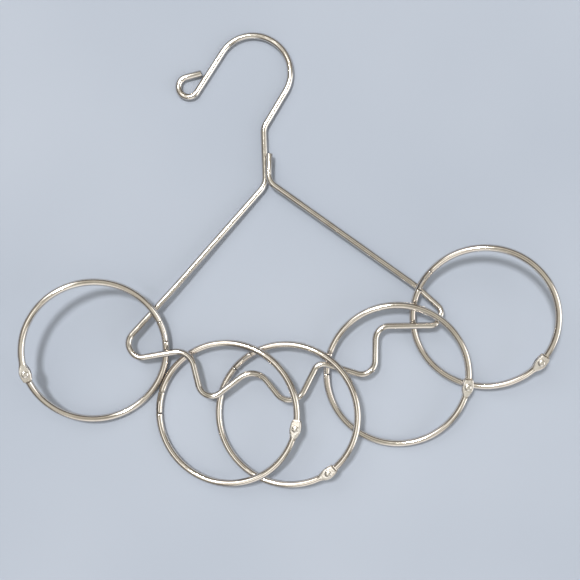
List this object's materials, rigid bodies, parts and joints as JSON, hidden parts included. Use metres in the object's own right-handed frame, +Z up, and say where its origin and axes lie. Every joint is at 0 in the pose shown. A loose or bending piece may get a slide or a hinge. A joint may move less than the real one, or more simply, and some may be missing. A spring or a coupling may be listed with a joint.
{
  "type": "scarf hanger",
  "caption": "Flat steel-wire hanger with a curled hook and a wavy lower bar that carries hinged snap rings for scarves.",
  "frame": {"origin": "centre of the bounding box in plan, at the table that the hanger lies on", "axes": "+X to the right across the shoulders, +Y towards the hook, +Z up from the table towards the viewer"},
  "size_m": [0.303, 0.2587, 0.0257],
  "materials": {
    "hanger_chrome": "polished plating",
    "ring_chrome": "polished nickel plating",
    "rivet_steel": "tumbled steel"
  },
  "bodies": {
    "hanger": {"hanger_wire": "hanger_chrome"},
    "ring_1_held": {"ring_1_tongue_half": "ring_chrome"},
    "ring_1_swinging": {"ring_1_fork_half": "ring_chrome", "ring_1_rivet": "rivet_steel"},
    "ring_2_held": {"ring_2_tongue_half": "ring_chrome"},
    "ring_2_swinging": {"ring_2_fork_half": "ring_chrome", "ring_2_rivet": "rivet_steel"},
    "ring_3_held": {"ring_3_fork_half": "ring_chrome", "ring_3_rivet": "rivet_steel"},
    "ring_3_swinging": {"ring_3_tongue_half": "ring_chrome"},
    "ring_4_held": {"ring_4_tongue_half": "ring_chrome"},
    "ring_4_swinging": {"ring_4_fork_half": "ring_chrome", "ring_4_rivet": "rivet_steel"},
    "ring_5_held": {"ring_5_fork_half": "ring_chrome", "ring_5_rivet": "rivet_steel"},
    "ring_5_swinging": {"ring_5_tongue_half": "ring_chrome"}
  },
  "joints": [
    {"name": "ring_1_turn", "type": "hinge", "parent": "hanger", "child": "ring_1_held", "pos_m": [-0.10967, -0.05115, 0.01289], "axis": [0.194, -0.19, 0.9624], "range_deg": [-150, 60]},
    {"name": "ring_1_open", "type": "hinge", "parent": "ring_1_held", "child": "ring_1_swinging", "pos_m": [-0.14751, -0.06317, 0.01815], "axis": [0.194, -0.19, 0.9624], "range_deg": [0, 100]},
    {"name": "ring_2_turn", "type": "hinge", "parent": "hanger", "child": "ring_2_held", "pos_m": [-0.03517, -0.08675, 0.00796], "axis": [-0.146, -0.008, 0.9893], "range_deg": [-140, 8]},
    {"name": "ring_2_open", "type": "hinge", "parent": "ring_2_held", "child": "ring_2_swinging", "pos_m": [0.00374, -0.09435, 0.01364], "axis": [-0.146, -0.008, 0.9893], "range_deg": [0, 60]},
    {"name": "ring_3_turn", "type": "hinge", "parent": "hanger", "child": "ring_3_held", "pos_m": [-0.00097, -0.08735, 0.00856], "axis": [-0.16, -0.018, 0.987], "range_deg": [-160, 80]},
    {"name": "ring_3_open", "type": "hinge", "parent": "ring_3_held", "child": "ring_3_swinging", "pos_m": [0.02226, -0.11982, 0.01173], "axis": [0.16, 0.018, -0.987], "range_deg": [0, 100]},
    {"name": "ring_4_turn", "type": "hinge", "parent": "hanger", "child": "ring_4_held", "pos_m": [0.06123, -0.06475, 0.00731], "axis": [-0.066, -0.113, 0.9914], "range_deg": [-100, 4]},
    {"name": "ring_4_open", "type": "hinge", "parent": "ring_4_held", "child": "ring_4_swinging", "pos_m": [0.10073, -0.07105, 0.00922], "axis": [-0.066, -0.113, 0.9914], "range_deg": [0, 90]},
    {"name": "ring_5_turn", "type": "hinge", "parent": "hanger", "child": "ring_5_held", "pos_m": [0.10943, -0.03215, 0.01256], "axis": [-0.162, -0.202, 0.9659], "range_deg": [-120, 100]},
    {"name": "ring_5_open", "type": "hinge", "parent": "ring_5_held", "child": "ring_5_swinging", "pos_m": [0.14102, -0.05677, 0.01271], "axis": [0.162, 0.202, -0.9659], "range_deg": [0, 100]}
  ]
}
